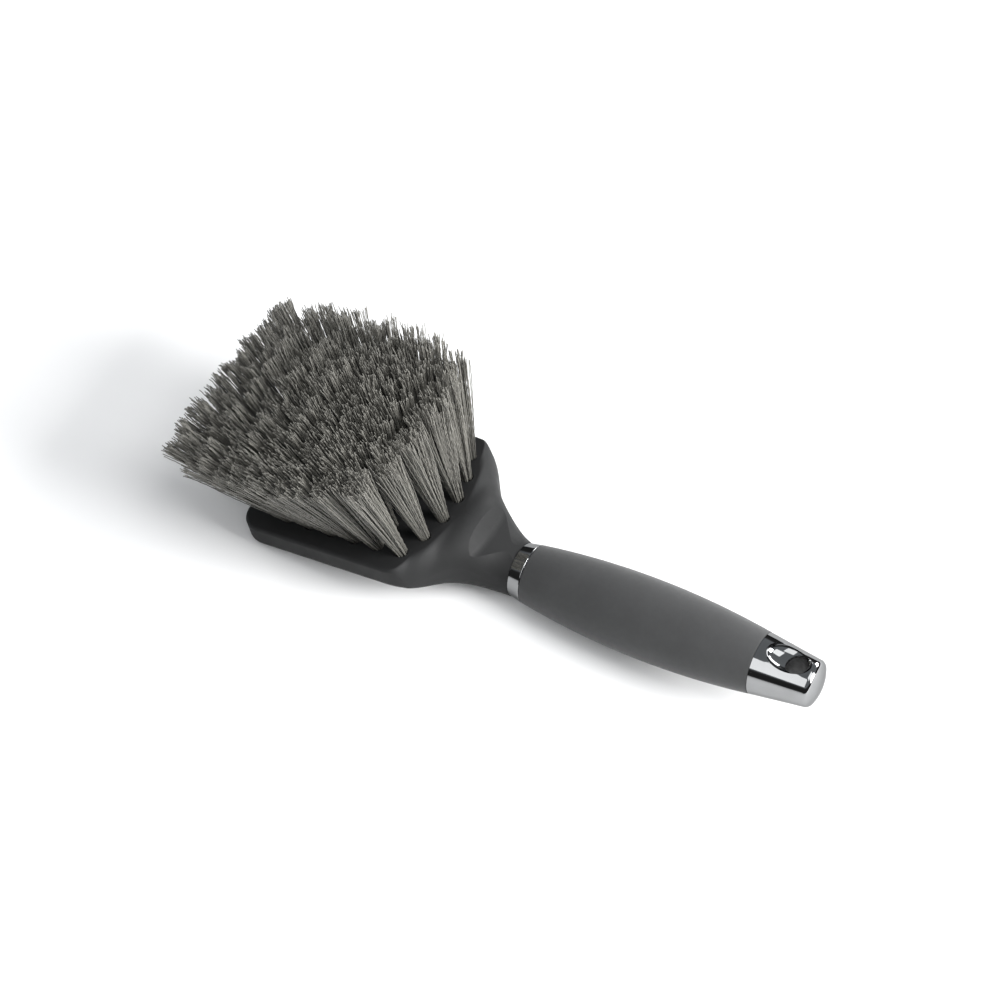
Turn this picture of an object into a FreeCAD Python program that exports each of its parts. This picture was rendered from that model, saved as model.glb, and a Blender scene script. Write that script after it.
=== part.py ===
import FreeCAD, Part

import math
import os

import Sketcher

# A wheel brush lying on its back: a head plate full of bristle tufts, a dished neck, a plated ring,
# a soft barrel grip and a plated end cap with a hanging hole.
#
# Two local frames share one origin, the centre of the joint between the ring and the grip.
#   head frame:   X towards the butt, Z along the head plate's normal, bristles on the +Z side
#   handle frame: the same, turned down by handle_drop so that X runs along the handle
# The placements at the end turn both by head_tilt, so that the tip of the plate and the grip rest on
# z = 0, and put the origin under the middle of the whole brush. Y is across, and the brush is
# symmetric about y = 0.

DIMENSIONS = {
    # pose of the head and the handle, degrees
    "head_tilt": 14.7,
    "handle_drop": 6.3,
    # head plate
    "plate_tip": 123.2,
    "plate_joint": 46.4,
    "plate_half_width": 41.4,
    "plate_face": 29.6,
    "plate_thick": 11.8,
    "tip_corner": 11.0,
    "top_edge": 1.6,
    "low_edge": 3.5,
    # dish between the head plate and the neck, turned about a centre in the plate
    "dish_centre": 95.0,
    "dish_radius": 70.2,
    "dish_crest": 3.2,
    "dish_foot": 6.0,
    "dish_slope": 63.0,
    "dish_fall": 28.0,
    "dish_floor": 18.1,
    "dish_reach": 96.0,
    # neck, seen from above: a round corner, a straight flank and a hollow curve
    "corner_round": 14.4,
    "flank_turn": 57.0,
    "flank_end": 1.3,
    # neck, along its length: where its back falls and its shoulders grow, as distances from the origin
    "back_start": 30.2,
    "back_end": 2.0,
    "keel_end": 0.0,
    "keel_power": 0.8,
    "keel_round_start": 44.4,
    "shoulder_height": 11.2,
    "shoulder_start": 42.5,
    "shoulder_full": 35.0,
    "arch_start": 35.7,
    "arch_full": 26.7,
    "ring_start": 20.0,
    "ring_flat": 0.5,
    # places of the neck's sections: close together at the corners, then wider towards the ring
    "corner_section": 44.0,
    "corner_spacing": 2.5,
    "throat_section": 26.0,
    "throat_spacing": 3.0,
    # spigot and tang inside the ring and the grip
    "spigot_radius": 10.0,
    "tang_radius": 7.0,
    "tang_length": 118.0,
    # plated ring
    "ring_length": 6.2,
    "ring_front": 12.3,
    "ring_back": 13.4,
    "ring_edge": 0.35,
    # soft grip
    "grip_length": 110.0,
    "grip_root": 13.6,
    "grip_belly": 17.7,
    "grip_butt": 13.9,
    "grip_edge": 0.9,
    # plated end cap
    "cap_length": 28.0,
    "cap_root": 13.8,
    "cap_tip": 10.4,
    "cap_dome": 2.6,
    "cap_round": 3.0,
    "cap_wall": 1.5,
    "scoop_place": 123.4,
    "scoop_long": 10.4,
    "scoop_wide": 6.9,
    "scoop_deep": 4.6,
    "scoop_height": 12.0,
    "hang_place": 126.9,
    "hang_radius": 5.0,
    # clearance between parts that are pushed into one another
    "slack": 0.1,
    # tufts and their holes
    "column_first": 54.8,
    "column_pitch": 11.6,
    "row_pitch": 12.1,
    "arc_radius": 60.0,
    "arc_step": 11.8,
    "corner_pull_x": 2.0,
    "corner_pull_y": 1.4,
    "hole_radius": 2.9,
    "hole_depth": 9.0,
    "tuft_root": 2.8,
    "tuft_collar": 2.6,
    "tuft_tip": 6.0,
    "tuft_length": 52.0,
    "tuft_gain": 5.0,
    "lean_side": 22.0,
    "lean_first": 0.5,
    "lean_corner": 0.24,
    "lean_start": -1.0,
    "lean_full": 3.0,
    "lean_back": 3.0,
    "lean_front": 34.0,
    "lean_growth": 1.3,
    # flat wire anchors
    "anchor_width": 4.8,
    "anchor_thick": 0.5,
    "anchor_height": 1.8,
}

CORNER_SECTIONS = 7
THROAT_SECTIONS = 6
COLUMNS = 7
ROWS = 6
TUFT_ROW_NAMES = ["left_outer", "left_middle", "left_inner", "right_inner", "right_middle", "right_outer"]

# lengths that only make sure that shapes overlap, or tell edges apart
OVERLAP = 1.0
HEADROOM = 10.0
NEAR = 0.1
TOUCHING = 0.01
# the dish takes away more than this volume
LEAST_CUT = 100.0

doc = FreeCAD.newDocument("wheel_brush")
sheet = doc.addObject("Spreadsheet::Sheet", "dims")
for number, (alias, value) in enumerate(DIMENSIONS.items(), start=1):
    sheet.set("A%d" % number, alias)
    sheet.set("B%d" % number, str(value))
    sheet.setAlias("B%d" % number, alias)
doc.recompute()


def cell(alias):
    """The value of one driving dimension."""
    return float(sheet.get(alias))


def bind(thing, **expressions):
    """Tie properties of an object to expressions in the driving dimensions."""
    for name, text in expressions.items():
        words = text.split(" ")
        tied = ["dims." + word if word in DIMENSIONS else word for word in words]
        thing.setExpression(name, " ".join(tied))


def origin_plane(body, role):
    """One of the body's own origin planes."""
    for feature in body.Origin.OriginFeatures:
        if feature.Role == role:
            return feature
    raise ValueError("no plane " + role)


def new_sketch(body, name, role, offset=None):
    """An empty sketch on an origin plane of the body."""
    sketch = body.newObject("Sketcher::SketchObject", name)
    sketch.AttachmentSupport = [(origin_plane(body, role), "")]
    sketch.MapMode = "FlatFace"
    if offset is not None:
        sketch.AttachmentOffset = offset
    return sketch


def datum(sketch, constraint, text=None):
    """Add a constraint, tied to an expression where one is given."""
    index = sketch.addConstraint(constraint)
    if text is not None:
        words = text.split(" ")
        tied = ["dims." + word if word in DIMENSIONS else word for word in words]
        sketch.setExpression("Constraints[%d]" % index, " ".join(tied))


def pin(sketch, geometry, point, across, up, across_text=None, up_text=None):
    """Hold a point of a sketch at a distance from the sketch's origin, in both directions."""
    datum(sketch, Sketcher.Constraint("DistanceX", -1, 1, geometry, point, across), across_text)
    datum(sketch, Sketcher.Constraint("DistanceY", -1, 1, geometry, point, up), up_text)


def chain(sketch, points):
    """A closed outline of straight lines, joined end to end; returns the numbers of its lines."""
    corners = [FreeCAD.Vector(across, up, 0) for across, up in points]
    lines = []
    for start, end in zip(corners, corners[1:] + corners[:1]):
        lines.append(sketch.addGeometry(Part.LineSegment(start, end), False))
    for line, following in zip(lines, lines[1:] + lines[:1]):
        sketch.addConstraint(Sketcher.Constraint("Coincident", line, 2, following, 1))
    return lines


def smooth(start, end, place):
    """0 before start, 1 after end, and a smooth curve between them."""
    share = min(1.0, max(0.0, (place - start) / (end - start)))
    return share ** 3 * (share * (6.0 * share - 15.0) + 10.0)


def blend(first, last, share):
    return first + (last - first) * share


# ---------------------------------------------------------------- brush body, head frame


def pad_plate(body):
    """The head plate from its tip to the plane where the neck starts, with rounded edges."""
    tip = -cell("plate_tip")
    joint = -cell("plate_joint")
    side = cell("plate_half_width")
    level = cell("plate_face") - cell("plate_thick")
    base = FreeCAD.Placement(FreeCAD.Vector(0, 0, level), FreeCAD.Rotation())
    outline = new_sketch(body, "plate_outline", "XY_Plane", base)
    bind(outline, **{"AttachmentOffset.Base.z": "plate_face - plate_thick"})
    lines = chain(outline, [(tip, -side), (joint, -side), (joint, side), (tip, side)])
    pin(outline, lines[0], 1, tip, -side, "- plate_tip", "- plate_half_width")
    pin(outline, lines[1], 1, joint, -side, "- plate_joint", "- plate_half_width")
    pin(outline, lines[2], 1, joint, side, "- plate_joint", "plate_half_width")
    pin(outline, lines[3], 1, tip, side, "- plate_tip", "plate_half_width")
    plate = body.newObject("PartDesign::Pad", "plate")
    plate.Profile = outline
    bind(plate, Length="plate_thick")
    doc.recompute()

    def edges(shape, keep):
        return ["Edge%d" % n for n, edge in enumerate(shape.Edges, start=1) if keep(edge.BoundBox)]

    corners = body.newObject("PartDesign::Fillet", "tip_corners")
    corners.Base = (plate, edges(plate.Shape, lambda box: box.XMax < tip + NEAR and box.ZLength > NEAR))
    bind(corners, Radius="tip_corner")
    doc.recompute()
    top = cell("plate_face")
    rim = body.newObject("PartDesign::Fillet", "top_rim")
    rim.Base = (corners, edges(corners.Shape, lambda box: box.ZMin > top - NEAR and box.XMin < joint - NEAR))
    bind(rim, Radius="top_edge")
    doc.recompute()
    under = body.newObject("PartDesign::Fillet", "low_rim")
    under.Base = (rim, edges(rim.Shape, lambda box: box.ZMax < level + NEAR and box.XMin < joint - NEAR))
    bind(under, Radius="low_edge")
    doc.recompute()


def neck_section(body, name, placement, half_width, low, high, low_round, shoulder):
    """A section across the neck: round lower corners, and shoulders that are quarters of an ellipse."""
    section = new_sketch(body, name, "YZ_Plane", placement)
    reach, height = shoulder
    bottom_reach = half_width - low_round
    top_reach = half_width - reach
    bottom_level = low + low_round
    top_level = high - height
    ends = [
        ((-bottom_reach, low), (bottom_reach, low)),
        ((half_width, bottom_level), (half_width, top_level)),
        ((top_reach, high), (-top_reach, high)),
        ((-half_width, top_level), (-half_width, bottom_level)),
    ]

    def low_corner(side, turn):
        centre = FreeCAD.Vector(side * bottom_reach, bottom_level, 0)
        circle = Part.Circle(centre, FreeCAD.Vector(0, 0, 1), low_round)
        return Part.ArcOfCircle(circle, math.radians(turn), math.radians(turn + 90.0))

    def high_corner(side, turn):
        centre = FreeCAD.Vector(side * top_reach, top_level, 0)
        if reach - height < TOUCHING:
            circle = Part.Circle(centre, FreeCAD.Vector(0, 0, 1), height)
            return Part.ArcOfCircle(circle, math.radians(turn), math.radians(turn + 90.0))
        across = centre + FreeCAD.Vector(reach, 0, 0)
        up = centre + FreeCAD.Vector(0, height, 0)
        ellipse = Part.Ellipse(across, up, centre)
        return Part.ArcOfEllipse(ellipse, math.radians(turn), math.radians(turn + 90.0))

    corners = [low_corner(1, 270.0), high_corner(1, 0.0), high_corner(-1, 90.0), low_corner(-1, 180.0)]
    lines = []
    arcs = []
    for (start, end), corner in zip(ends, corners):
        segment = Part.LineSegment(FreeCAD.Vector(*start, 0), FreeCAD.Vector(*end, 0))
        lines.append(section.addGeometry(segment, False))
        arcs.append(section.addGeometry(corner, False))
    for number, (line, arc) in enumerate(zip(lines, arcs)):
        section.addConstraint(Sketcher.Constraint("Coincident", line, 2, arc, 1))
        section.addConstraint(Sketcher.Constraint("Coincident", arc, 2, lines[(number + 1) % 4], 1))
    return section


def neck_half_width(place):
    """Half the neck's width at a place: a convex arc, a straight flank and a concave arc."""
    joint = cell("plate_joint")
    radius = cell("corner_round")
    turn = math.radians(cell("flank_turn"))
    end = -cell("flank_end")
    narrow = cell("ring_front")
    corner_x = -joint + radius * math.sin(turn)
    corner_y = cell("plate_half_width") - radius * (1.0 - math.cos(turn))
    fall = (corner_x - end) * math.tan(turn)
    hollow = (corner_y - narrow + fall) / (1.0 - 1.0 / math.cos(turn))
    hollow_x = end - hollow * math.sin(turn)
    if place < corner_x:
        return corner_y - radius * math.cos(turn) + math.sqrt(radius ** 2 - (place + joint) ** 2)
    if place < hollow_x:
        return corner_y - (place - corner_x) * math.tan(turn)
    return narrow + hollow - math.sqrt(hollow ** 2 - (place - end) ** 2)


def neck_shape(place, ring_level):
    """Half width, bottom, top, lower corner radius and shoulder of the neck at a place along it."""
    ring = cell("ring_front")
    face = cell("plate_face")
    half_width = neck_half_width(place)
    back = smooth(-cell("back_start"), -cell("back_end"), place)
    keel = smooth(-cell("plate_joint"), -cell("keel_end"), place) ** cell("keel_power")
    high = blend(face, ring_level + ring, back)
    low = blend(face - cell("plate_thick"), ring_level - ring, keel)
    low_round = blend(cell("low_edge"), ring, smooth(-cell("keel_round_start"), -cell("ring_length"), place))
    grown = smooth(-cell("shoulder_start"), -cell("shoulder_full"), place)
    height = blend(cell("top_edge"), cell("shoulder_height"), grown)
    height = blend(height, ring, smooth(-cell("ring_start"), -cell("ring_length"), place))
    room = high - low - cell("ring_flat")
    squeeze = min(1.0, room / (height + low_round))
    height *= squeeze
    low_round *= squeeze
    widest = half_width - cell("ring_flat")
    arch = smooth(-cell("arch_start"), -cell("arch_full"), place)
    reach = max(blend(height, widest, arch), height)
    return half_width, low, high, min(low_round, widest), (reach, height)


def loft_neck(body):
    """The neck, from the plate's full section to the round one at the ring."""
    drop = math.radians(cell("handle_drop"))
    ring_x = -cell("ring_length") * math.cos(drop)
    ring_z = cell("ring_length") * math.sin(drop)
    ring_radius = cell("ring_front")
    sections = []
    stations = [-cell("plate_joint")]
    stations += [n * cell("corner_spacing") - cell("corner_section") for n in range(CORNER_SECTIONS)]
    stations += [n * cell("throat_spacing") - cell("throat_section") for n in range(THROAT_SECTIONS)]
    for number, place in enumerate(stations):
        placement = FreeCAD.Placement(FreeCAD.Vector(0, 0, place), FreeCAD.Rotation())
        name = "neck_section_%d" % number
        sections.append(neck_section(body, name, placement, *neck_shape(place, ring_z)))
    turn = FreeCAD.Rotation(FreeCAD.Vector(1, 0, 0), cell("handle_drop"))
    placement = FreeCAD.Placement(FreeCAD.Vector(0, ring_z, ring_x), turn)
    nearly = ring_radius - cell("ring_flat")
    circle = (ring_radius, -ring_radius, ring_radius, nearly, (nearly, nearly))
    sections.append(neck_section(body, "neck_section_ring", placement, *circle))
    neck = body.newObject("PartDesign::AdditiveLoft", "neck")
    neck.Profile = sections[0]
    neck.Sections = sections[1:]
    doc.recompute()


def groove_dish(body):
    """The dish between the plate's face and the neck, turned about the dish's centre."""
    face = cell("plate_face")
    floor = cell("dish_floor")
    slope = math.radians(cell("dish_slope"))
    fall = math.radians(cell("dish_fall"))
    crest = cell("dish_crest")
    foot = cell("dish_foot")
    start = cell("dish_radius")
    crest_end = (start + crest * math.sin(slope), face - crest * (1.0 - math.cos(slope)))
    foot_fall = foot * (math.cos(fall) - math.cos(slope))
    run_fall = crest_end[1] - floor - foot_fall
    run_end = (crest_end[0] + run_fall / math.tan(slope), crest_end[1] - run_fall)
    foot_centre = (run_end[0] + foot * math.sin(slope), run_end[1] + foot * math.cos(slope))
    foot_end = (foot_centre[0] - foot * math.sin(fall), foot_centre[1] - foot * math.cos(fall))
    reach = cell("dish_reach")
    out = (reach, foot_end[1] - (reach - foot_end[0]) * math.tan(fall))
    roof = face + HEADROOM

    offset = FreeCAD.Placement(FreeCAD.Vector(-cell("dish_centre"), 0, 0), FreeCAD.Rotation())
    profile = new_sketch(body, "dish_profile", "XZ_Plane", offset)
    bind(profile, **{"AttachmentOffset.Base.x": "- dish_centre"})

    def arc(centre, radius, first, last):
        circle = Part.Circle(FreeCAD.Vector(*centre, 0), FreeCAD.Vector(0, 0, 1), radius)
        return Part.ArcOfCircle(circle, first, last)

    def line(first, last):
        return Part.LineSegment(FreeCAD.Vector(*first, 0), FreeCAD.Vector(*last, 0))

    quarter = math.pi / 2.0
    profile.addGeometry(arc((start, face - crest), crest, quarter - slope, quarter), False)
    profile.addGeometry(line(crest_end, run_end), False)
    profile.addGeometry(arc(foot_centre, foot, -quarter - slope, -quarter - fall), False)
    profile.addGeometry(line(foot_end, out), False)
    profile.addGeometry(line(out, (reach, roof)), False)
    profile.addGeometry(line((reach, roof), (start, roof)), False)
    profile.addGeometry(line((start, roof), (start, face)), False)
    joins = [(0, 1, 1, 1), (1, 2, 2, 1), (2, 2, 3, 1), (3, 2, 4, 1), (4, 2, 5, 1), (5, 2, 6, 1), (6, 2, 0, 2)]
    for first, first_point, second, second_point in joins:
        profile.addConstraint(
            Sketcher.Constraint("Coincident", first, first_point, second, second_point)
        )
    before = body.Shape.Volume
    dish = body.newObject("PartDesign::Groove", "dish")
    dish.Profile = profile
    dish.ReferenceAxis = (profile, ["V_Axis"])
    dish.Angle = 360.0
    doc.recompute()
    if dish.Shape.Volume > before - LEAST_CUT:
        raise RuntimeError("the dish cut nothing")


def pad_tang(body):
    """The round spigot under the ring and the tang inside the grip, along the handle."""
    drop = math.radians(cell("handle_drop"))
    turn = FreeCAD.Rotation(FreeCAD.Vector(1, 0, 0), cell("handle_drop"))
    back = cell("ring_length") + OVERLAP
    place = FreeCAD.Placement(FreeCAD.Vector(0, back * math.sin(drop), -back * math.cos(drop)), turn)
    steps = [
        ("spigot", "spigot_radius", "ring_length + %s" % OVERLAP),
        ("tang", "tang_radius", "tang_length + ring_length + %s" % OVERLAP),
    ]
    for name, radius, length in steps:
        sketch = new_sketch(body, name + "_circle", "YZ_Plane", place)
        circle = Part.Circle(FreeCAD.Vector(0, 0, 0), FreeCAD.Vector(0, 0, 1), cell(radius))
        sketch.addGeometry(circle, False)
        sketch.addConstraint(Sketcher.Constraint("Coincident", 0, 3, -1, 1))
        datum(sketch, Sketcher.Constraint("Radius", 0, cell(radius)), radius)
        pad = body.newObject("PartDesign::Pad", name)
        pad.Profile = sketch
        bind(pad, Length=length)
        doc.recompute()


# ---------------------------------------------------------------- tufts, head frame


def tuft_seats():
    """Every tuft's column, row, foot on the plate's face, axis, and length as an expression."""
    face = cell("plate_face")
    first = cell("column_first")
    pitch = cell("column_pitch")
    seats = []
    for column in range(COLUMNS):
        for row in range(ROWS):
            step = row - (ROWS - 1) / 2.0
            if column == 0:
                angle = math.radians(step * cell("arc_step"))
                across = -cell("arc_radius") * math.sin(angle)
                along = cell("arc_radius") * math.cos(angle) - cell("dish_centre")
            else:
                across = -step * cell("row_pitch")
                along = -first - (column - 1) * pitch
            if column == COLUMNS - 1 and row in (0, ROWS - 1):
                along += cell("corner_pull_x")
                across -= math.copysign(cell("corner_pull_y"), across)
            side = across / ((ROWS - 1) / 2.0 * cell("row_pitch"))
            front = column / (COLUMNS - 1.0)
            growth = smooth(cell("lean_start"), cell("lean_full"), column)
            opened = blend(cell("lean_first"), 1.0, growth)
            eased = 1.0 - cell("lean_corner") * front ** 6 * side ** 2
            sideways = math.radians(cell("lean_side") * side * opened * eased)
            leaned = front ** cell("lean_growth")
            forwards = math.radians(blend(cell("lean_back"), cell("lean_front"), leaned))
            axis = FreeCAD.Vector(-math.tan(forwards), math.tan(sideways), 1.0)
            axis.normalize()
            length = "tuft_length + tuft_gain * %d / %d" % (column, COLUMNS - 1)
            seats.append((column, row, FreeCAD.Vector(along, across, face), axis, length))
    return seats


def seat_placement(foot, axis, depth):
    """A placement whose Z runs along the tuft and which lies depth below the tuft's foot."""
    turn = FreeCAD.Rotation(FreeCAD.Vector(0, 0, 1), axis)
    return FreeCAD.Placement(foot - axis * depth, turn)


def drilled_body(body, seats):
    """The moulding with a blind hole, square to its own tuft, for each tuft."""
    drills = []
    for column, row, foot, axis, length in seats:
        drill = doc.addObject("Part::Cylinder", "drill_%d_%d" % (column, row))
        bind(drill, Radius="hole_radius", Height="hole_depth * 2")
        drill.Placement = seat_placement(foot, axis, cell("hole_depth"))
        drills.append(drill)
    tools = doc.addObject("Part::MultiFuse", "drills")
    tools.Shapes = drills
    drilled = doc.addObject("Part::Cut", "drilled_moulding")
    drilled.Base = body
    drilled.Tool = tools
    drilled.Label = "brush_body"
    return drilled


def anchor_box(name, foot, axis):
    """One flat wire anchor on the floor of a tuft's hole."""
    anchor = doc.addObject("Part::Box", name)
    bind(anchor, Length="anchor_thick", Width="anchor_width", Height="anchor_height")
    frame = seat_placement(foot, axis, cell("hole_depth"))
    shift = FreeCAD.Vector(-cell("anchor_thick") / 2.0, -cell("anchor_width") / 2.0, 0.0)
    anchor.Placement = frame.multiply(FreeCAD.Placement(shift, FreeCAD.Rotation()))
    return anchor


def tuft(name, foot, axis, length, anchor):
    """One tuft: a round root in its hole, folded over the anchor, and the spread bristles."""
    root = doc.addObject("Part::Cylinder", name + "_root")
    bind(root, Radius="tuft_root", Height="hole_depth + tuft_collar")
    root.Placement = seat_placement(foot, axis, cell("hole_depth"))
    brush = doc.addObject("Part::Cone", name + "_brush")
    bind(brush, Radius1="tuft_root", Radius2="tuft_tip", Height=length + " - tuft_collar")
    brush.Placement = seat_placement(foot, axis, -cell("tuft_collar"))
    whole = doc.addObject("Part::MultiFuse", name + "_whole")
    whole.Shapes = [root, brush]
    folded = doc.addObject("Part::Cut", name + "_folded")
    folded.Base = whole
    folded.Tool = anchor
    folded.Label = name
    return folded


# ---------------------------------------------------------------- handle pieces, handle frame


def turned(name, outline):
    """A piece turned about the handle's axis; outline points are (place along the handle, radius).

    An outline step is a point, or a pair (middle, end) for an arc through middle to end.
    """
    body = doc.addObject("PartDesign::Body", name)
    body.Label = name
    sketch = new_sketch(body, name + "_profile", "XZ_Plane")
    here = outline[0]
    count = 0
    for step in outline[1:] + [outline[0]]:
        if isinstance(step[0], tuple):
            middle, end = step
            curve = Part.Arc(*(FreeCAD.Vector(*point, 0) for point in (here, middle, end)))
        else:
            end = step
            curve = Part.LineSegment(FreeCAD.Vector(*here, 0), FreeCAD.Vector(*end, 0))
        sketch.addGeometry(curve, False)
        here = end
        count += 1
    for number in range(count):
        pin_start(sketch, number, (number + 1) % count)
    spin = body.newObject("PartDesign::Revolution", name + "_turned")
    spin.Profile = sketch
    spin.ReferenceAxis = (sketch, ["H_Axis"])
    spin.Angle = 360.0
    return body


def pin_start(sketch, number, following):
    """Join the end of one curve to the start of the next, whichever way round each is stored."""
    ends = [sketch.getPoint(number, which) for which in (1, 2)]
    starts = [sketch.getPoint(following, which) for which in (1, 2)]
    pairs = [(a.distanceToPoint(b), i, j) for i, a in enumerate(ends) for j, b in enumerate(starts)]
    gap, first, second = min(pairs)
    sketch.addConstraint(Sketcher.Constraint("Coincident", number, first + 1, following, second + 1))


def ferrule_ring():
    """The plated ring between the neck and the grip."""
    length = cell("ring_length")
    edge = cell("ring_edge")
    bore = cell("spigot_radius") + cell("slack")
    front = cell("ring_front")
    back = cell("ring_back")
    nick = edge * (1.0 - math.sqrt(0.5))
    outline = [
        (-length, bore),
        (-length, front - edge),
        ((-length + nick, front - nick), (-length + edge, front)),
        (-edge, back),
        ((-nick, back - nick), (0.0, back - edge)),
        (0.0, bore),
    ]
    return turned("ferrule_ring", outline)


def grip_sleeve():
    """The soft barrel grip, bored for the tang."""
    length = cell("grip_length")
    edge = cell("grip_edge")
    bore = cell("tang_radius") + cell("slack")
    nick = edge * (1.0 - math.sqrt(0.5))
    root = cell("grip_root")
    butt = cell("grip_butt")
    outline = [
        (0.0, bore),
        (0.0, root - edge),
        ((nick, root - nick), (edge, root)),
        ((length / 2.0, cell("grip_belly")), (length - edge, butt)),
        ((length - nick, butt - nick), (length, butt - edge)),
        (length, bore),
    ]
    return turned("grip_sleeve", outline)


def total(words):
    """The sum of some driving dimensions."""
    return sum(cell(word) for word in words)


def cap_blank(name, insets=()):
    """The solid shape of the cap, moved in by insets: a taper, a rounded shoulder and a low dome."""
    inset = total(insets)
    start = cell("grip_length")
    end = start + cell("cap_length") - inset
    tip = cell("cap_tip") - inset
    root = cell("cap_root") - inset
    dome = cell("cap_dome")
    shoulder = end - dome
    dome_radius = (tip ** 2 + dome ** 2) / (2.0 * dome)
    half = math.asin(tip / dome_radius) / 2.0
    crown = (end - dome_radius * (1.0 - math.cos(half)), dome_radius * math.sin(half))
    body = turned(name, [(start, 0.0), (start, root), (shoulder, tip), (crown, (end, 0.0))])
    doc.recompute()
    blank = body.Tip
    names = []
    for number, edge in enumerate(blank.Shape.Edges, start=1):
        flat = edge.BoundBox.XLength < TOUCHING
        if flat and abs(edge.BoundBox.XMin - shoulder) < TOUCHING:
            names.append("Edge%d" % number)
    rounded = body.newObject("PartDesign::Fillet", name + "_round")
    rounded.Base = (blank, names)
    bind(rounded, Radius=" - ".join(("cap_round",) + insets))
    doc.recompute()
    return body


def scoop(name, insets=()):
    """The two scooped hollows round the hanging hole, one on each face of the cap."""
    halves = []
    for label, side in (("top", 1.0), ("low", -1.0)):
        hollow = doc.addObject("Part::Ellipsoid", "%s_%s" % (name, label))
        radii = [" + ".join((radius,) + insets) for radius in ("scoop_wide", "scoop_long", "scoop_deep")]
        bind(hollow, Radius1=radii[0], Radius2=radii[1], Radius3=radii[2])
        centre = FreeCAD.Vector(cell("scoop_place"), 0, side * cell("scoop_height"))
        across = FreeCAD.Rotation(FreeCAD.Vector(1, 0, 0), 90)
        hollow.Placement = FreeCAD.Placement(centre, across)
        halves.append(hollow)
    return halves


def hang_drill(name):
    """The straight hole through the cap and the plug."""
    drill = doc.addObject("Part::Cylinder", name)
    bind(drill, Radius="hang_radius", Height="cap_root * 3")
    centre = FreeCAD.Vector(cell("hang_place"), 0, -1.5 * cell("cap_root"))
    drill.Placement = FreeCAD.Placement(centre, FreeCAD.Rotation())
    return drill


def cut(name, base, tools):
    """The base with every tool taken away."""
    group = doc.addObject("Part::MultiFuse", name + "_tools")
    group.Shapes = tools
    result = doc.addObject("Part::Cut", name)
    result.Base = base
    result.Tool = group
    return result


def end_plug():
    """The black insert inside the cap, which holds the tang's end and lines the hanging hole."""
    insets = ("cap_wall", "slack")
    blank = cap_blank("plug_blank", insets)
    bore = doc.addObject("Part::Cylinder", "plug_bore")
    bind(bore, Radius="tang_radius + slack", Height="tang_length - grip_length + %s" % OVERLAP)
    turn = FreeCAD.Rotation(FreeCAD.Vector(0, 1, 0), 90)
    bore.Placement = FreeCAD.Placement(FreeCAD.Vector(cell("grip_length") - OVERLAP, 0, 0), turn)
    plug = cut("plug_cut", blank, scoop("plug_scoop", insets) + [hang_drill("plug_hole"), bore])
    plug.Label = "end_plug"
    return plug


def end_cap():
    """The plated cap: a shell with a scoop on each face and the hanging hole through it."""
    insets = ("cap_wall",)
    shape = cut("cap_outside", cap_blank("cap_blank"), scoop("cap_scoop"))
    core = cut("cap_inside", cap_blank("cap_core", insets), scoop("core_scoop", insets))
    cap = cut("cap_shell", shape, [core, hang_drill("cap_hole")])
    cap.Label = "end_cap"
    return cap


# ---------------------------------------------------------------- the whole brush

moulding = doc.addObject("PartDesign::Body", "moulding")
pad_plate(moulding)
loft_neck(moulding)
groove_dish(moulding)
pad_tang(moulding)

seats = tuft_seats()
head_parts = [drilled_body(moulding, seats)]
anchor_groups = {}
for column, row, foot, axis, length in seats:
    anchor = anchor_box("anchor_%d_%d" % (column, row), foot, axis)
    anchor_groups.setdefault(column, []).append(anchor)
    name = "tuft_%d_%s" % (column + 1, TUFT_ROW_NAMES[row])
    head_parts.append(tuft(name, foot, axis, length, anchor))
for column, anchors in anchor_groups.items():
    group = doc.addObject("Part::Compound", "anchor_group_%d" % column)
    group.Links = anchors
    group.Label = "anchor_wires_%d" % (column + 1)
    head_parts.append(group)
handle_parts = [ferrule_ring(), grip_sleeve(), end_plug(), end_cap()]
doc.recompute()

# Turn the handle's pieces into the head frame, then everything into the resting pose, and put the
# origin under the middle of the brush.
tilt = FreeCAD.Rotation(FreeCAD.Vector(0, 1, 0), -cell("head_tilt"))
drop = FreeCAD.Rotation(FreeCAD.Vector(0, 1, 0), cell("handle_drop"))
turns = [(part, tilt) for part in head_parts] + [(part, tilt.multiply(drop)) for part in handle_parts]
for part, turn in turns:
    part.Placement = FreeCAD.Placement(FreeCAD.Vector(0, 0, 0), turn)
doc.recompute()
box = FreeCAD.BoundBox()
for part, turn in turns:
    box.add(part.Shape.optimalBoundingBox(False, False))
shift = FreeCAD.Vector(-box.Center.x, 0, -box.ZMin)
for part, turn in turns:
    part.Placement = FreeCAD.Placement(shift, turn)
doc.recompute()

for thing in doc.Objects:
    if "Invalid" in thing.State or "Error" in thing.State:
        raise RuntimeError("failed: " + thing.Name)
for part, turn in turns:
    if part.Shape.isNull() or not part.Shape.isValid():
        raise RuntimeError("bad shape: " + part.Label)

os.makedirs("parts", exist_ok=True)
for part, turn in turns:
    part.Shape.exportStep("parts/%s.step" % part.Label)
    print(part.Label, len(part.Shape.Solids), round(part.Shape.Volume, 1))
print("origin of the joint", [round(value, 3) for value in shift])
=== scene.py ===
import math

import bpy
import numpy as np
from mathutils import Matrix, Vector


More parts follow.
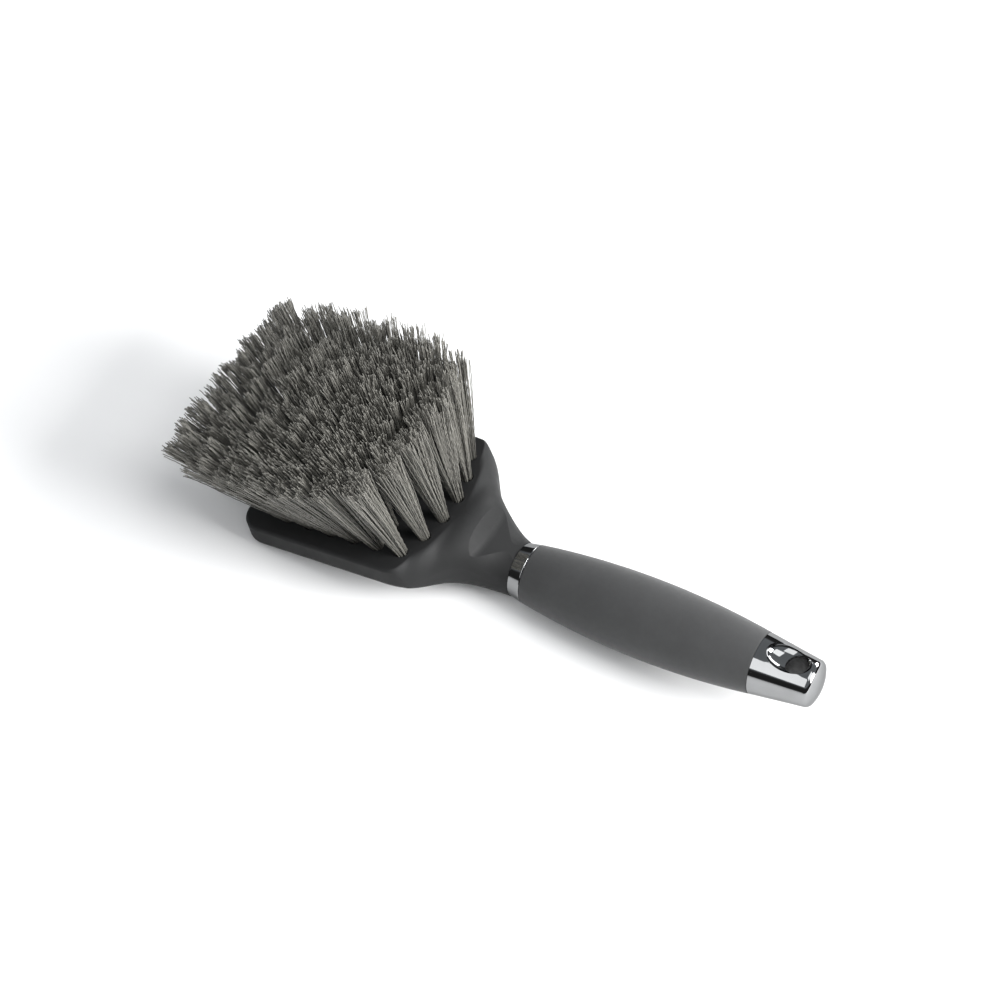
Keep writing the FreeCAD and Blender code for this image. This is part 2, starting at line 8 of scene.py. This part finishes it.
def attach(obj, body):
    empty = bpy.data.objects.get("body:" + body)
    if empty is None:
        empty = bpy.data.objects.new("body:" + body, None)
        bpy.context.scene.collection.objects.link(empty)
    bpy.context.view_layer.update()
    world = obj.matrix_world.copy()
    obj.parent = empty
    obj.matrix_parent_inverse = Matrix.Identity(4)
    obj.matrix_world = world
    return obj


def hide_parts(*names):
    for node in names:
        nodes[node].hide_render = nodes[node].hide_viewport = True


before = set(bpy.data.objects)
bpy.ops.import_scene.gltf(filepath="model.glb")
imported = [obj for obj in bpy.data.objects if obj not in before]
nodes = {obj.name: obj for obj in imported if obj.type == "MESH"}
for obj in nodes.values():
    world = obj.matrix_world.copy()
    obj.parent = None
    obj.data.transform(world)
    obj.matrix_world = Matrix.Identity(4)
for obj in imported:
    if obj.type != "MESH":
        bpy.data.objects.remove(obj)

# A wheel brush on its back. Body, ring, grip, plug, cap and wires keep their CAD meshes and get materials.
# The 42 solid tufts are replaced by bundles of crimped filament, one piece for each tuft.
# Lengths are in metres unless a name says otherwise.

MM = 0.001
FULL_TURN = 2.0 * math.pi
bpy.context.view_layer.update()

SEED = 20260744

# camera, angles in degrees, lens and sensor in millimetres
CAMERA_AZIMUTH = 27.48
CAMERA_ELEVATION = 54.78
CAMERA_ROLL = 2.66
CAMERA_DISTANCE = 1.2075
CAMERA_LENS = 99.42
CAMERA_SENSOR = 36.0
CAMERA_NEAR = 0.05
CAMERA_FAR = 20.0
CAMERA_AIM = Vector((-0.01484, 0.0196, 0.02497))

# where the tufts stand
ROWS = ["left_outer", "left_middle", "left_inner", "right_inner", "right_middle", "right_outer"]
COLUMNS = 7
HOLE_DEPTH = 9.0 * MM
END_SLICE = 0.5 * MM

# one filament: a square tube that starts a little inside its hole
FILAMENTS = 150
FILAMENT_RADIUS = 0.2 * MM
FILAMENT_SIDES = 4
FILAMENT_STEPS = 42
SEAM_GUIDE = np.array([0.31, 0.95, 0.05])
ROOT_RADIUS = 2.78 * MM
SUNK = 2.0 * MM

# the cell that a tuft's ends fill, up to its neighbours or the edge of the brush
EDGE_REACH = 6.0 * MM
TOE_REACH = 5.0 * MM
CELL_REACH = 14.0 * MM
CELL_BLUR = 1.0 * MM

# bunches of filament within a tuft
CLUMPS = 15
PULL_LEAST = 0.1
PULL_MOST = 0.5
STRAY = 0.35 * MM

# cut heights, as standard deviations; the slope is rise over run
TUFT_SLOPE = 0.1
TUFT_CUT = 0.9 * MM
CLUMP_CUT = 1.1 * MM
STRAND_CUT = 0.8 * MM

# the bend of a strand, by its share of the tuft's length
FAN_POWER = 1.1
BOW = 0.4 * MM
FLICK = 0.6 * MM
FLICK_START = 0.72
FLICK_SHARE = 0.28

# crimp; the least and most are factors on its size and pitch
CRIMP_PITCH = 4.6 * MM
CRIMP_SIZE = 0.13 * MM
CRIMP_RUN_IN = 6.0 * MM
SIZE_LEAST = 0.6
SIZE_MOST = 1.4
PITCH_LEAST = 0.92
PITCH_MOST = 1.08

# shade of a strand between the two colours of its material
SHADE_MEAN = 0.5
SHADE_SPREAD = 0.22

# where a noise starts and ends its change from one value to the other
PATCH_LOW = 0.3
PATCH_HIGH = 0.7

FLOOR_HALF = 3.0


# ---------------------------------------------------------------- small helpers for materials


def new_material(name):
    """A node material with an empty tree and its Principled shader."""
    material = bpy.data.materials.new(name)
    material.use_nodes = True
    tree = material.node_tree
    tree.nodes.clear()
    output = tree.nodes.new("ShaderNodeOutputMaterial")
    shader = tree.nodes.new("ShaderNodeBsdfPrincipled")
    tree.links.new(shader.outputs["BSDF"], output.inputs["Surface"])
    return material, tree, shader


def noise(tree, scale, detail):
    """Noise in the object's own coordinates."""
    node = tree.nodes.new("ShaderNodeTexNoise")
    node.inputs["Scale"].default_value = scale
    node.inputs["Detail"].default_value = detail
    place = tree.nodes.new("ShaderNodeTexCoord")
    tree.links.new(place.outputs["Object"], node.inputs["Vector"])
    return node.outputs["Fac"]


def ramp(tree, fac, stops):
    """A colour ramp; stops are (place, (r, g, b))."""
    node = tree.nodes.new("ShaderNodeValToRGB")
    while len(node.color_ramp.elements) < len(stops):
        node.color_ramp.elements.new(1.0)
    for element, (place, colour) in zip(node.color_ramp.elements, stops):
        element.position = place
        element.color = (*colour, 1.0)
    tree.links.new(fac, node.inputs["Fac"])
    return node.outputs["Color"]


def span(tree, fac, to_low, to_high, low=PATCH_LOW):
    """Map a noise to the values between to_low and to_high."""
    node = tree.nodes.new("ShaderNodeMapRange")
    node.inputs["From Min"].default_value = low
    node.inputs["From Max"].default_value = PATCH_HIGH
    node.inputs["To Min"].default_value = to_low
    node.inputs["To Max"].default_value = to_high
    tree.links.new(fac, node.inputs["Value"])
    return node.outputs["Result"]


def tint(tree, shader, scale, detail, dark, light):
    """A base colour that drifts between two shades in soft patches."""
    colour = ramp(tree, noise(tree, scale, detail), [(PATCH_LOW, dark), (PATCH_HIGH, light)])
    tree.links.new(colour, shader.inputs["Base Color"])


def gloss(tree, shader, scale, detail, smoothest, roughest, low=PATCH_LOW):
    """A roughness that varies in fine patches."""
    value = span(tree, noise(tree, scale, detail), smoothest, roughest, low)
    tree.links.new(value, shader.inputs["Roughness"])


def grain(tree, shader, scale, detail, strength, depth):
    """Fine bumps; depth is in metres."""
    node = tree.nodes.new("ShaderNodeBump")
    node.inputs["Strength"].default_value = strength
    node.inputs["Distance"].default_value = depth
    tree.links.new(noise(tree, scale, detail), node.inputs["Height"])
    tree.links.new(node.outputs["Normal"], shader.inputs["Normal"])


def grey(value, warm=0.0):
    return (value * (1.0 + warm), value, value * (1.0 - warm))


def ash(value):
    """The slightly yellow grey of the filament."""
    return (value * 1.035, value, value * 0.89)


# ---------------------------------------------------------------- materials


def body_plastic():
    """Black moulded plastic, satin, with a faint cloudiness and a very fine orange peel."""
    material, tree, shader = new_material("body_plastic")
    tint(tree, shader, scale=45.0, detail=3.0, dark=grey(0.016, -0.01), light=grey(0.02, -0.015))
    gloss(tree, shader, scale=160.0, detail=4.0, smoothest=0.5, roughest=0.6)
    grain(tree, shader, scale=900.0, detail=2.0, strength=0.12, depth=0.05 * MM)
    shader.inputs["Specular IOR Level"].default_value = 0.15
    return material


def soft_grip():
    """Soft-touch rubber: matte, finely grained, a little lighter at grazing angles."""
    material, tree, shader = new_material("soft_grip")
    tint(tree, shader, scale=60.0, detail=3.0, dark=grey(0.046, -0.012), light=grey(0.053, -0.014))
    gloss(tree, shader, scale=420.0, detail=3.0, smoothest=0.62, roughest=0.74)
    grain(tree, shader, scale=2600.0, detail=2.0, strength=0.25, depth=0.06 * MM)
    shader.inputs["Specular IOR Level"].default_value = 0.25
    shader.inputs["Sheen Weight"].default_value = 0.12
    shader.inputs["Sheen Roughness"].default_value = 0.5
    return material


def chrome_plate():
    """Bright plating, dimmed at grazing angles, with the slight unevenness of the moulding underneath."""
    material, tree, shader = new_material("plated_trim")
    tint(tree, shader, scale=90.0, detail=2.0, dark=(0.245, 0.248, 0.25), light=(0.272, 0.275, 0.278))
    gloss(tree, shader, scale=500.0, detail=3.0, smoothest=0.035, roughest=0.075, low=0.35)
    grain(tree, shader, scale=140.0, detail=1.0, strength=0.05, depth=0.05 * MM)
    shader.inputs["Metallic"].default_value = 1.0
    shader.inputs["Specular Tint"].default_value = (0.5, 0.5, 0.5, 1.0)
    return material


def plug_plastic():
    """Dull black plastic inside the cap."""
    material, tree, shader = new_material("plug_plastic")
    tint(tree, shader, scale=200.0, detail=3.0, dark=grey(0.012), light=grey(0.02))
    gloss(tree, shader, scale=600.0, detail=2.0, smoothest=0.5, roughest=0.65)
    grain(tree, shader, scale=900.0, detail=2.0, strength=0.2, depth=0.05 * MM)
    return material


def anchor_wire():
    """Drawn steel wire."""
    material, tree, shader = new_material("anchor_wire")
    tint(tree, shader, scale=800.0, detail=2.0, dark=grey(0.45), light=grey(0.6))
    gloss(tree, shader, scale=1500.0, detail=2.0, smoothest=0.25, roughest=0.4)
    shader.inputs["Metallic"].default_value = 1.0
    return material


def bristle(name, low, high, root):
    """Crimped filament: a shade for each strand, and root as its brightness at the bottom; a root below 1 is
    painted shade that darkens the lower half of each filament towards the plate.
    """
    material, tree, shader = new_material(name)
    strand = tree.nodes.new("ShaderNodeAttribute")
    strand.attribute_name = "strand"
    reach = tree.nodes.new("ShaderNodeAttribute")
    reach.attribute_name = "reach"
    shade = ramp(tree, strand.outputs["Fac"], [(0.0, low), (1.0, high)])
    # painted shade: from halfway down each filament darkens to root at the plate, standing in for the shade
    # among the crowded strands
    depth = ramp(tree, reach.outputs["Fac"], [(0.0, grey(root)), (0.5, grey(1.0)), (1.0, grey(1.0))])
    mix = tree.nodes.new("ShaderNodeMix")
    mix.data_type = "RGBA"
    mix.blend_type = "MULTIPLY"
    mix.inputs["Factor"].default_value = 1.0
    tree.links.new(shade, mix.inputs["A"])
    tree.links.new(depth, mix.inputs["B"])
    tree.links.new(mix.outputs["Result"], shader.inputs["Base Color"])
    gloss(tree, shader, scale=700.0, detail=2.0, smoothest=0.38, roughest=0.55)
    shader.inputs["Specular IOR Level"].default_value = 0.45
    return material


def floor_material():
    """Pale matte floor."""
    material, tree, shader = new_material("floor")
    tint(tree, shader, scale=3.0, detail=2.0, dark=grey(0.86), light=grey(0.88))
    shader.inputs["Roughness"].default_value = 0.9
    shader.inputs["Specular IOR Level"].default_value = 0.1
    return material


def dress(node, material):
    """Give a carried-over CAD node its material."""
    data = nodes[node].data
    data.materials.clear()
    data.materials.append(material)


def dress_cad_nodes():
    """Materials of the pieces that keep their CAD mesh."""
    chrome = chrome_plate()
    dress("brush_body", body_plastic())
    dress("ferrule_ring", chrome)
    dress("end_cap", chrome)
    dress("grip_sleeve", soft_grip())
    dress("end_plug", plug_plastic())
    wire = anchor_wire()
    for node in nodes:
        if node.startswith("anchor_wires"):
            dress(node, wire)


# ---------------------------------------------------------------- bristles


def tuft_line(node):
    """Root centre and tip centre of a tuft, read from its CAD solid."""
    mesh = nodes[node].data
    points = np.empty(len(mesh.vertices) * 3)
    mesh.vertices.foreach_get("co", points)
    points = points.reshape(-1, 3)
    middle = points.mean(axis=0)
    along = np.linalg.svd(points - middle, full_matrices=False)[2][0]
    if along[2] < 0:
        along = -along
    reach = (points - middle) @ along
    tip = points[reach > reach.max() - END_SLICE].mean(axis=0)
    root = points[reach < reach.min() + END_SLICE].mean(axis=0)
    return root, tip


def filament_tubes(paths, radius, sides):
    """Closed tubes along paths (filaments, steps, 3): vertices, walls, and the faces of both cut ends."""
    count, steps, _ = paths.shape
    ahead = np.gradient(paths, axis=1)
    ahead /= np.linalg.norm(ahead, axis=2, keepdims=True)
    start = np.cross(ahead[:, :1], SEAM_GUIDE)
    start /= np.linalg.norm(start, axis=2, keepdims=True)
    across = start - ahead * np.sum(start * ahead, axis=2, keepdims=True)
    across /= np.linalg.norm(across, axis=2, keepdims=True)
    side = np.cross(ahead, across)
    turn = np.arange(sides) * 2.0 * math.pi / sides
    ring = across[:, :, None] * np.cos(turn)[:, None] + side[:, :, None] * np.sin(turn)[:, None]
    vertices = (paths[:, :, None] + ring * radius).reshape(-1, 3)
    first = (np.arange(count) * steps * sides)[:, None, None]
    row = (np.arange(steps - 1) * sides)[None, :, None]
    here = np.arange(sides)[None, None, :]
    beside = (here + 1) % sides
    walls = np.stack(
        [first + row + here, first + row + beside, first + row + sides + beside, first + row + sides + here],
        axis=-1,
    ).reshape(-1, 4)
    base = np.arange(count)[:, None] * steps * sides
    foot = base + np.arange(sides)[::-1][None, :]
    end = base + (steps - 1) * sides + np.arange(sides)[None, :]
    return vertices, walls, foot, end


def bristle_mesh(name, paths, shades, reach, materials):
    """One mesh of all a tuft's filaments, with its strand and reach attributes."""
    count, steps, _ = paths.shape
    vertices, walls, foot, end = filament_tubes(paths, FILAMENT_RADIUS, FILAMENT_SIDES)
    faces = np.concatenate([walls, foot, end])
    corners = faces.shape[1]
    mesh = bpy.data.meshes.new(name)
    mesh.vertices.add(len(vertices))
    mesh.vertices.foreach_set("co", vertices.ravel())
    mesh.loops.add(faces.size)
    mesh.loops.foreach_set("vertex_index", faces.ravel())
    mesh.polygons.add(len(faces))
    mesh.polygons.foreach_set("loop_start", np.arange(len(faces)) * corners)
    mesh.polygons.foreach_set("loop_total", np.full(len(faces), corners))
    kinds = np.zeros(len(faces), dtype=np.int32)
    # the tip faces take the second material, the lighter cut-end copy with its painted highlight
    kinds[-len(end):] = 1
    for material in materials:
        mesh.materials.append(material)
    mesh.polygons.foreach_set("material_index", kinds)
    smooth = np.ones(len(faces), dtype=bool)
    smooth[-2 * len(end):] = False
    mesh.polygons.foreach_set("use_smooth", smooth)
    strand = mesh.attributes.new("strand", "FLOAT", "POINT")
    strand.data.foreach_set("value", np.repeat(shades, steps * FILAMENT_SIDES))
    depth = mesh.attributes.new("reach", "FLOAT", "POINT")
    depth.data.foreach_set("value", np.tile(np.repeat(reach, FILAMENT_SIDES), count))
    mesh.update(calc_edges=True)
    return mesh


def beyond(tip, inner, reach=EDGE_REACH):
    """A ghost tip outside the brush. Its cell borders on the outer tuft's own cell at reach past the tip."""
    away = tip - inner
    return tip + away * (2.0 * reach / np.linalg.norm(away))


def tip_grid():
    """Root and tip centres of every tuft, and a ring of ghost tips around the edge of the brush."""
    lines = {}
    for column in range(COLUMNS):
        for row, label in enumerate(ROWS):
            lines[column, row] = tuft_line("tuft_%d_%s" % (column + 1, label))
    tips = {seat: line[1] for seat, line in lines.items()}
    last_column = COLUMNS - 1
    last_row = len(ROWS) - 1

    ghosts = []
    for row in range(last_row + 1):
        ghosts.append(beyond(tips[0, row], tips[1, row]))
        ghosts.append(beyond(tips[last_column, row], tips[last_column - 1, row], TOE_REACH))
    for column in range(last_column + 1):
        ghosts.append(beyond(tips[column, 0], tips[column, 1]))
        ghosts.append(beyond(tips[column, last_row], tips[column, last_row - 1]))
    for column, beside in ((0, 1), (last_column, last_column - 1)):
        for row, inner in ((0, 1), (last_row, last_row - 1)):
            ghosts.append(beyond(tips[column, row], tips[beside, inner]))
    return lines, tips, np.array(ghosts)


def cell_offsets(rng, tip, others, across, up):
    """Places of a tuft's filament ends round its tip: all over the cell that is nearest to this tip."""
    spots = []
    while len(spots) < FILAMENTS:
        offset = rng.uniform(-CELL_REACH, CELL_REACH, 2)
        place = tip + across * offset[0] + up * offset[1]
        own = np.linalg.norm(offset)
        rival = np.linalg.norm(others - place, axis=1).min()
        if own < CELL_REACH and own < rival + rng.normal(0.0, CELL_BLUR):
            spots.append(offset)
    return np.array(spots)


def bunched(rng, spread):
    """Draw the filament ends together in bunches; also the bunch that each filament belongs to."""
    clumps = spread[rng.choice(FILAMENTS, CLUMPS, replace=False)]
    nearest = np.argmin(np.linalg.norm(spread[:, None] - clumps[None], axis=2), axis=1)
    pull = rng.uniform(PULL_LEAST, PULL_MOST, FILAMENTS)[:, None]
    spread = spread * (1.0 - pull) + clumps[nearest] * pull
    spread += rng.normal(0.0, STRAY, (FILAMENTS, 2))
    return spread, nearest


def trimmed(rng, length, spread, nearest):
    """Length of each filament above the plate: a sloping cut, uneven by tuft, bunch and strand."""
    slope = rng.normal(0.0, TUFT_SLOPE, 2)
    lengths = length + rng.normal(0.0, TUFT_CUT) + spread @ slope
    lengths += rng.normal(0.0, CLUMP_CUT, CLUMPS)[nearest]
    lengths += rng.normal(0.0, STRAND_CUT, FILAMENTS)
    return lengths


def crimp(rng, travel):
    """Sideways ripple of each filament, which grows from nothing at the plate."""
    wave = rng.uniform(0.0, FULL_TURN, FILAMENTS)
    heading = rng.uniform(0.0, FULL_TURN, FILAMENTS)
    size = CRIMP_SIZE * rng.uniform(SIZE_LEAST, SIZE_MOST, FILAMENTS)
    pitch = CRIMP_PITCH * rng.uniform(PITCH_LEAST, PITCH_MOST, FILAMENTS)
    ripple = np.sin(travel / pitch[:, None] * 2.0 * math.pi + wave[:, None]) * size[:, None]
    ripple *= np.clip(travel / CRIMP_RUN_IN, 0.0, 1.0)
    return np.stack([ripple * np.cos(heading)[:, None], ripple * np.sin(heading)[:, None]], axis=2)


def tuft_paths(rng, root, tip, others):
    """The filaments of one tuft, from inside the hole to their trimmed ends."""
    axis = tip - root
    length = np.linalg.norm(axis) - HOLE_DEPTH
    axis = axis / np.linalg.norm(axis)
    foot = root + axis * HOLE_DEPTH
    across = np.cross(axis, [0.0, 0.0, 1.0])
    across /= np.linalg.norm(across)
    up = np.cross(across, axis)

    spread = cell_offsets(rng, tip, others, across, up)
    away = np.linalg.norm(spread, axis=1)
    packed = np.sqrt((np.argsort(np.argsort(away)) + 1.0) / FILAMENTS)
    base = spread * (packed / away)[:, None] * ROOT_RADIUS
    spread, nearest = bunched(rng, spread)
    lengths = trimmed(rng, length, spread, nearest)

    share = np.linspace(0.0, 1.0, FILAMENT_STEPS)
    travel = share[None, :] * (lengths[:, None] + SUNK) - SUNK
    rise = np.clip(travel / length, 0.0, None)
    fan = rise ** FAN_POWER
    offset = base[:, None] * (1.0 - fan[..., None]) + spread[:, None] * fan[..., None]
    bow = rng.normal(0.0, BOW, (FILAMENTS, 2))
    offset += bow[:, None] * (np.sin(rise * math.pi) ** 2)[..., None]
    flick = rng.normal(0.0, FLICK, (FILAMENTS, 2))
    offset += flick[:, None] * (np.clip(rise - FLICK_START, 0.0, None) ** 2 / FLICK_SHARE ** 2)[..., None]
    offset += crimp(rng, travel)
    paths = foot + travel[..., None] * axis + offset[..., :1] * across + offset[..., 1:] * up
    shades = np.clip(rng.normal(SHADE_MEAN, SHADE_SPREAD, FILAMENTS), 0.0, 1.0)
    return paths, shades, share


def make_bristles(materials):
    """Replace every tuft node by its own bundle of filaments."""
    lines, tips, ghosts = tip_grid()
    for number, (seat, (root, tip)) in enumerate(lines.items()):
        rng = np.random.default_rng(SEED + number)
        others = np.array([place for other, place in tips.items() if other != seat])
        paths, shades, share = tuft_paths(rng, root, tip, np.concatenate([others, ghosts]))
        column, row = seat
        label = "%d_%s" % (column + 1, ROWS[row])
        name = "bristles_" + label
        mesh = bristle_mesh(name, paths, shades, share, materials)
        piece = bpy.data.objects.new(name, mesh)
        bpy.context.scene.collection.objects.link(piece)
        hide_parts("tuft_" + label)
        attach(piece, "root")


# ---------------------------------------------------------------- studio


def make_camera():
    """The camera, aimed at CAMERA_AIM from its azimuth and elevation."""
    turn = math.radians(CAMERA_AZIMUTH)
    rise = math.radians(CAMERA_ELEVATION)
    back = Vector((math.sin(turn) * math.cos(rise), -math.cos(turn) * math.cos(rise), math.sin(rise)))
    data = bpy.data.cameras.new("camera")
    data.lens = CAMERA_LENS
    data.sensor_width = CAMERA_SENSOR
    data.clip_start = CAMERA_NEAR
    data.clip_end = CAMERA_FAR
    camera = bpy.data.objects.new("camera", data)
    camera.location = CAMERA_AIM + back * CAMERA_DISTANCE
    look = (-back).to_track_quat("-Z", "Y").to_matrix().to_4x4()
    roll = Matrix.Rotation(math.radians(CAMERA_ROLL), 4, "Z")
    camera.matrix_world = Matrix.Translation(camera.location) @ look @ roll
    bpy.context.scene.collection.objects.link(camera)
    bpy.context.scene.camera = camera


def softbox(name, place, target, width, height, power):
    """A rectangular light at place, turned to target; power is in watts."""
    data = bpy.data.lights.new(name, "AREA")
    data.shape = "RECTANGLE"
    data.size = width
    data.size_y = height
    data.energy = power
    light = bpy.data.objects.new(name, data)
    light.location = place
    light.rotation_mode = "QUATERNION"
    light.rotation_quaternion = (Vector(target) - Vector(place)).to_track_quat("-Z", "Y")
    bpy.context.scene.collection.objects.link(light)


def make_floor():
    """A plain floor at z = 0."""
    half = FLOOR_HALF
    mesh = bpy.data.meshes.new("floor")
    corners = [(-half, -half, 0.0), (half, -half, 0.0), (half, half, 0.0), (-half, half, 0.0)]
    mesh.from_pydata(corners, [], [(0, 1, 2, 3)])
    mesh.materials.append(floor_material())
    floor = bpy.data.objects.new("floor", mesh)
    bpy.context.scene.collection.objects.link(floor)


def make_sky():
    """The surroundings by height: a dark belt above the horizon, then a pale, slightly blue dome."""
    world = bpy.data.worlds.new("studio")
    bpy.context.scene.world = world
    world.use_nodes = True
    tree = world.node_tree
    back = tree.nodes["Background"]
    place = tree.nodes.new("ShaderNodeTexCoord")
    split = tree.nodes.new("ShaderNodeSeparateXYZ")
    tree.links.new(place.outputs["Generated"], split.inputs["Vector"])
    heights = [
        (0.0, grey(0.3)),
        (0.03, grey(0.04)),
        (0.36, grey(0.05)),
        (0.45, grey(0.38, -0.05)),
        (1.0, grey(0.34, -0.05)),
    ]
    tree.links.new(ramp(tree, split.outputs["Z"], heights), back.inputs["Color"])
    back.inputs["Strength"].default_value = 1.0


def make_lights():
    """Four softboxes: the key beyond the cap, one at the far side, one overhead and one at the near side."""
    head = (0.0, 0.0, 0.04)
    low = (0.0, 0.0, 0.03)
    ground = (0.0, 0.0, 0.0)
    softbox("key", (1.1, 0.15, 0.6), head, width=0.55, height=0.7, power=31.0)
    softbox("back", (0.35, 1.1, 0.5), head, width=0.8, height=0.4, power=9.0)
    softbox("top", (0.7, -0.1, 1.8), ground, width=1.2, height=1.2, power=13.0)
    softbox("front", (-0.15, -1.0, 1.1), low, width=0.75, height=1.0, power=5.8)


bpy.context.scene.view_settings.view_transform = "Standard"

dress_cad_nodes()
# the shaft material carries painted shade at the root (root 0.6)
shaft_with_painted_root_shade = bristle("bristle", low=ash(0.1), high=ash(0.226), root=0.6)
# the cut ends get a lighter copy of the filament material, a painted highlight for the light their flat ends
# catch
cut_end_painted_highlight = bristle("bristle_end_painted_highlight", low=ash(0.34), high=ash(0.5), root=1.0)
make_bristles([shaft_with_painted_root_shade, cut_end_painted_highlight])
make_camera()
make_floor()
make_sky()
make_lights()
